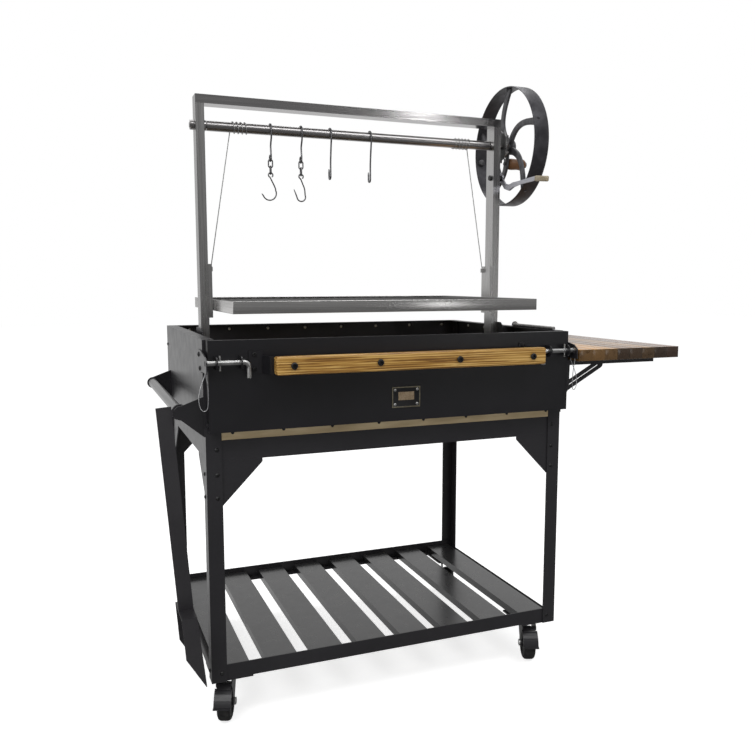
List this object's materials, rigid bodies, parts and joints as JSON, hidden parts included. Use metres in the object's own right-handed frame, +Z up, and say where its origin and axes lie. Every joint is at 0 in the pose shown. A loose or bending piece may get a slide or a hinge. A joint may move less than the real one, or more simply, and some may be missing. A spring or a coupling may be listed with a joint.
{
  "type": "wood-fire grill cart",
  "caption": "Wood-fire grill cart on casters: drop-front firebox, winch-lifted V-bar grate with hand wheel, hanging hooks, folding wooden side table, wood shelf and ash shovel.",
  "frame": {"origin": "on the floor, under the middle of the four corner posts", "axes": "+X to the cook's right, +Y to the back, +Z up"},
  "size_m": [1.5689, 0.8146, 1.7915],
  "materials": {
    "black_coat": "satin powder coat",
    "bare_steel": "mill finish, warm grey",
    "brushed": "brushed",
    "hook_steel": "satin",
    "dark_steel": "satin",
    "galvanised": "zinc plated",
    "handle_wood": "oiled",
    "table_wood": "oiled staves",
    "knob_wood": "varnished",
    "tyre": "matt",
    "plate": "dark bronze",
    "cable": "stranded wire"
  },
  "bodies": {
    "cart": {"corner_posts": "black_coat", "aprons": "black_coat", "corner_gussets": "black_coat", "shelf_rails": "black_coat", "shelf_slats": "black_coat", "firebox_panels": "black_coat", "floor_pan": "bare_steel", "rim_rod": "brushed", "frame_bolts": "black_coat", "upright_brackets": "black_coat", "upright_left": "brushed", "upright_right": "brushed", "top_bar": "brushed", "shaft_bearings": "brushed", "pawl_pivot": "brushed", "tool_bar": "black_coat", "door_tabs": "black_coat", "table_brackets": "black_coat", "caster_plates": "black_coat", "lanyard_left": "cable", "lanyard_right": "cable", "lift_cables": "cable"},
    "door": {"door_panel": "black_coat", "door_handle": "handle_wood", "door_brackets": "black_coat", "door_bolts": "black_coat", "name_plate": "plate"},
    "pin_left": {"lock_pin_left": "galvanised"},
    "pin_right": {"lock_pin_right": "galvanised"},
    "winch": {"winch_shaft": "brushed", "cable_windings": "cable", "ratchet_wheel": "brushed", "hand_wheel": "dark_steel"},
    "knob": {"hand_knob": "knob_wood"},
    "pawl": {"pawl_lever": "brushed"},
    "grate": {"grate_rim": "brushed", "grate_bars": "brushed", "slide_sleeves": "brushed"},
    "table": {"table_top": "table_wood", "table_arms": "black_coat"},
    "braces": {"table_braces": "black_coat"},
    "shovel": {"ash_shovel": "black_coat"},
    "fork_fl": {"caster_fork_fl": "black_coat"},
    "wheel_fl": {"caster_wheel_fl": "tyre"},
    "pedal_fl": {"brake_pedal_fl": "black_coat"},
    "fork_fr": {"caster_fork_fr": "black_coat"},
    "wheel_fr": {"caster_wheel_fr": "tyre"},
    "pedal_fr": {"brake_pedal_fr": "black_coat"},
    "fork_rl": {"caster_fork_rl": "black_coat"},
    "wheel_rl": {"caster_wheel_rl": "tyre"},
    "fork_rr": {"caster_fork_rr": "black_coat"},
    "wheel_rr": {"caster_wheel_rr": "tyre"},
    "hook_a_upper": {"hook_a_upper": "hook_steel"},
    "hook_a_link": {"hook_a_link": "hook_steel"},
    "hook_a_lower": {"hook_a_lower": "hook_steel"},
    "hook_b_upper": {"hook_b_upper": "hook_steel"},
    "hook_b_link": {"hook_b_link": "hook_steel"},
    "hook_b_lower": {"hook_b_lower": "hook_steel"},
    "hook_c": {"hook_c": "hook_steel"},
    "hook_d": {"hook_d": "hook_steel"}
  },
  "joints": [
    {"name": "door_drop", "type": "hinge", "parent": "cart", "child": "door", "pos_m": [0, -0.37, 0.815], "axis": [1, 0, 0], "range_deg": [0, 90]},
    {"name": "pin_left_slide", "type": "slide", "parent": "door", "child": "pin_left", "axis": [-1, 0, 0], "range_m": [-0.02, 0.0047]},
    {"name": "pin_right_slide", "type": "slide", "parent": "door", "child": "pin_right", "axis": [1, 0, 0], "range_m": [-0.008, 0.0047]},
    {"name": "winch_turn", "type": "hinge", "parent": "cart", "child": "winch", "pos_m": [0, -0.028, 1.602], "axis": [1, 0, 0], "range_deg": [0, 720]},
    {"name": "grate_lift", "type": "slide", "parent": "cart", "child": "grate", "axis": [0, 0, 1], "range_m": [0, 0.19792], "deforming": ["lift_cables"]},
    {"name": "knob_spin", "type": "hinge", "parent": "winch", "child": "knob", "pos_m": [0.556, -0.02166, 1.55039], "axis": [1, 0, 0], "continuous": true},
    {"name": "pawl_swing", "type": "hinge", "parent": "cart", "child": "pawl", "pos_m": [0.4945, -0.034, 1.501], "axis": [1, 0, 0], "range_deg": [0, 13]},
    {"name": "table_fold", "type": "hinge", "parent": "cart", "child": "table", "pos_m": [0.556, 0, 0.93], "axis": [0, 1, 0], "range_deg": [0, 89]},
    {"name": "brace_fold", "type": "hinge", "parent": "cart", "child": "braces", "pos_m": [0.5455, 0, 0.853], "axis": [0, 1, 0], "range_deg": [0, 117.39]},
    {"name": "shovel_swing", "type": "hinge", "parent": "cart", "child": "shovel", "pos_m": [-0.583, -0.33, 0.848], "axis": [0, 1, 0], "range_deg": [0, 35]},
    {"name": "swivel_fl", "type": "hinge", "parent": "cart", "child": "fork_fl", "pos_m": [-0.472, -0.278, 0.12], "axis": [0, 0, 1], "continuous": true},
    {"name": "roll_fl", "type": "hinge", "parent": "fork_fl", "child": "wheel_fl", "pos_m": [-0.47988, -0.29854, 0.05], "axis": [0.9336, -0.3584, 0], "continuous": true},
    {"name": "brake_fl", "type": "hinge", "parent": "fork_fl", "child": "pedal_fl", "pos_m": [-0.48634, -0.31534, 0.105], "axis": [0.9336, -0.3584, 0], "range_deg": [-10, 3.4]},
    {"name": "swivel_fr", "type": "hinge", "parent": "cart", "child": "fork_fr", "pos_m": [0.472, -0.278, 0.12], "axis": [0, 0, 1], "continuous": true},
    {"name": "roll_fr", "type": "hinge", "parent": "fork_fr", "child": "wheel_fr", "pos_m": [0.46412, -0.29854, 0.05], "axis": [0.9336, -0.3584, 0], "continuous": true},
    {"name": "brake_fr", "type": "hinge", "parent": "fork_fr", "child": "pedal_fr", "pos_m": [0.45766, -0.31534, 0.105], "axis": [0.9336, -0.3584, 0], "range_deg": [-10, 3.4]},
    {"name": "swivel_rl", "type": "hinge", "parent": "cart", "child": "fork_rl", "pos_m": [-0.472, 0.278, 0.12], "axis": [0, 0, 1], "continuous": true},
    {"name": "roll_rl", "type": "hinge", "parent": "fork_rl", "child": "wheel_rl", "pos_m": [-0.47988, 0.25746, 0.05], "axis": [0.9336, -0.3584, 0], "continuous": true},
    {"name": "swivel_rr", "type": "hinge", "parent": "cart", "child": "fork_rr", "pos_m": [0.472, 0.278, 0.12], "axis": [0, 0, 1], "continuous": true},
    {"name": "roll_rr", "type": "hinge", "parent": "fork_rr", "child": "wheel_rr", "pos_m": [0.46412, 0.25746, 0.05], "axis": [0.9336, -0.3584, 0], "continuous": true},
    {"name": "hook_a_swing", "type": "hinge", "parent": "cart", "child": "hook_a_upper", "pos_m": [-0.266, -0.028, 1.602], "axis": [1, 0, 0], "range_deg": [-25, 25]},
    {"name": "link_a_swing", "type": "hinge", "parent": "hook_a_upper", "child": "hook_a_link", "pos_m": [-0.266, -0.028, 1.5155], "axis": [0, 1, 0], "range_deg": [-10, 10]},
    {"name": "lower_a_swing", "type": "hinge", "parent": "hook_a_link", "child": "hook_a_lower", "pos_m": [-0.266, -0.028, 1.4973], "axis": [1, 0, 0], "range_deg": [-20, 20]},
    {"name": "hook_b_swing", "type": "hinge", "parent": "cart", "child": "hook_b_upper", "pos_m": [-0.175, -0.028, 1.602], "axis": [1, 0, 0], "range_deg": [-25, 25]},
    {"name": "link_b_swing", "type": "hinge", "parent": "hook_b_upper", "child": "hook_b_link", "pos_m": [-0.175, -0.028, 1.5155], "axis": [0, 1, 0], "range_deg": [-10, 10]},
    {"name": "lower_b_swing", "type": "hinge", "parent": "hook_b_link", "child": "hook_b_lower", "pos_m": [-0.175, -0.028, 1.4973], "axis": [1, 0, 0], "range_deg": [-20, 20]},
    {"name": "hook_c_swing", "type": "hinge", "parent": "cart", "child": "hook_c", "pos_m": [-0.086, -0.028, 1.602], "axis": [1, 0, 0], "range_deg": [-25, 25]},
    {"name": "hook_d_swing", "type": "hinge", "parent": "cart", "child": "hook_d", "pos_m": [0.04, -0.028, 1.602], "axis": [1, 0, 0], "range_deg": [-25, 25]}
  ],
  "couplings": [
    {"joint": "grate_lift", "follows": "winch_turn", "m_per_rad": 0.01575},
    {"joint": "brace_fold", "follows": "table_fold", "ratio": 1.3189}
  ]
}
